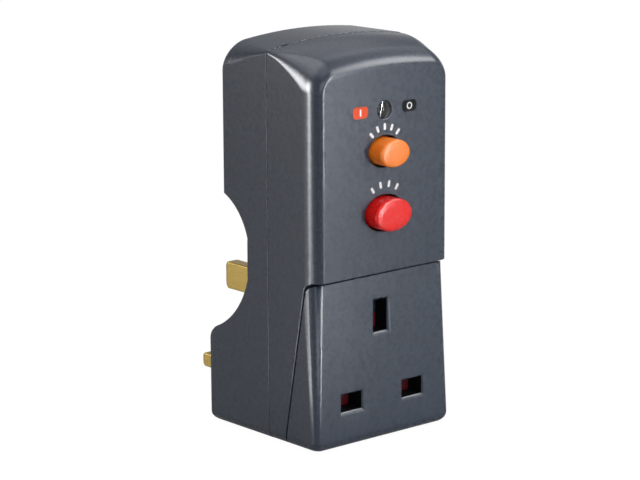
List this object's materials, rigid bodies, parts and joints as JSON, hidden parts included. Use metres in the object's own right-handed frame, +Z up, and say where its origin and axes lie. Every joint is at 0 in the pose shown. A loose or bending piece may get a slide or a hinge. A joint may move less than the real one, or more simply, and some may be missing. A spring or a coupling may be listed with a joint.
{
  "type": "rcd adapter plug",
  "caption": "Upright mains adapter with a shuttered socket low on its front, sprung reset and test buttons above, a tripping mechanism inside, finger scoops and plug pins behind.",
  "frame": {"origin": "middle of the flat base", "axes": "+Z up, -Y out of the socket face, +Y along the plug pins"},
  "size_m": [0.049, 0.073, 0.11],
  "materials": {
    "casing_plastic": "fine-textured satin anthracite",
    "orange_plastic": "smooth satin orange",
    "red_plastic": "smooth satin red",
    "shutter_plastic": "moulded",
    "pin_brass": "lightly polished",
    "sleeve_plastic": "moulded black",
    "strip_brass": "rolled strip",
    "lens_clear": "clear moulded window",
    "flag_black": "black with an orange half",
    "screw_steel": "zinc plated",
    "spring_steel": "bright wire",
    "soft_iron": "plated",
    "inner_plastic": "moulded cream",
    "carriage_plastic": "moulded grey",
    "winding_copper": "enamelled copper wire",
    "core_iron": "wound core",
    "board_laminate": "green solder mask",
    "component_blue": "dipped coating",
    "component_tan": "dipped coating"
  },
  "bodies": {
    "casing": {"front_housing": "casing_plastic", "rear_housing": "casing_plastic", "socket_cover": "casing_plastic", "case_screws": "screw_steel", "reset_spring": "spring_steel", "test_spring": "spring_steel", "test_contact": "strip_brass", "indicator_lens": "lens_clear", "line_pin": "pin_brass", "neutral_pin": "pin_brass", "earth_pin": "pin_brass", "pin_sleeves": "sleeve_plastic", "pin_plate": "inner_plastic", "line_contact": "strip_brass", "neutral_contact": "strip_brass", "earth_contact": "strip_brass", "contact_block": "inner_plastic", "block_screws": "screw_steel", "shutter_spring": "spring_steel", "earth_strap": "strip_brass", "line_busbar": "strip_brass", "neutral_busbar": "strip_brass", "line_lead": "strip_brass", "neutral_lead": "strip_brass", "toroid_core": "core_iron", "toroid_winding": "winding_copper", "mechanism_frame": "inner_plastic", "frame_screws": "screw_steel", "opening_spring": "spring_steel", "coil_frame": "soft_iron", "coil_bobbin": "inner_plastic", "coil_winding": "winding_copper", "circuit_board": "board_laminate", "board_screws": "screw_steel", "capacitor": "component_blue", "varistor": "component_blue", "resistors": "component_tan"},
    "reset_button": {"reset_button": "orange_plastic"},
    "test_button": {"test_button": "red_plastic"},
    "carriage": {"contact_carriage": "carriage_plastic", "bridge_contacts": "strip_brass"},
    "flag": {"indicator_flag": "flag_black"},
    "plunger": {"trip_plunger": "soft_iron"},
    "latch": {"latch_lever": "carriage_plastic"},
    "shutter": {"shutter": "shutter_plastic"}
  },
  "joints": [
    {"name": "reset_press", "type": "slide", "parent": "casing", "child": "reset_button", "axis": [0, 1, 0], "range_m": [0, 0.0035], "stiffness_N_per_m": 400, "springref_m": -0.001, "deforming": ["reset_spring"]},
    {"name": "test_press", "type": "slide", "parent": "casing", "child": "test_button", "axis": [0, 1, 0], "range_m": [0, 0.0025], "stiffness_N_per_m": 400, "springref_m": -0.001, "deforming": ["test_spring"]},
    {"name": "contact_close", "type": "slide", "parent": "casing", "child": "carriage", "axis": [0, -1, 0], "range_m": [0, 0.003], "stiffness_N_per_m": 500, "springref_m": -0.001, "deforming": ["opening_spring"]},
    {"name": "flag_turn", "type": "hinge", "parent": "casing", "child": "flag", "pos_m": [0, 0.0012, 0.0917], "axis": [-1, 0, 0], "range_deg": [0, 18]},
    {"name": "plunger_pull", "type": "slide", "parent": "casing", "child": "plunger", "axis": [-1, 0, 0], "range_m": [0, 0.0016]},
    {"name": "latch_turn", "type": "hinge", "parent": "casing", "child": "latch", "pos_m": [0.0085, 0.0013, 0.0755], "axis": [0, 1, 0], "range_deg": [0, 17]},
    {"name": "shutter_slide", "type": "slide", "parent": "casing", "child": "shutter", "axis": [0, 0, -1], "range_m": [0, 0.0064], "stiffness_N_per_m": 150, "springref_m": -0.002, "deforming": ["shutter_spring"]}
  ],
  "couplings": [
    {"joint": "flag_turn", "follows": "contact_close", "rad_per_m": 103.97},
    {"joint": "latch_turn", "follows": "plunger_pull", "rad_per_m": 166.67}
  ]
}
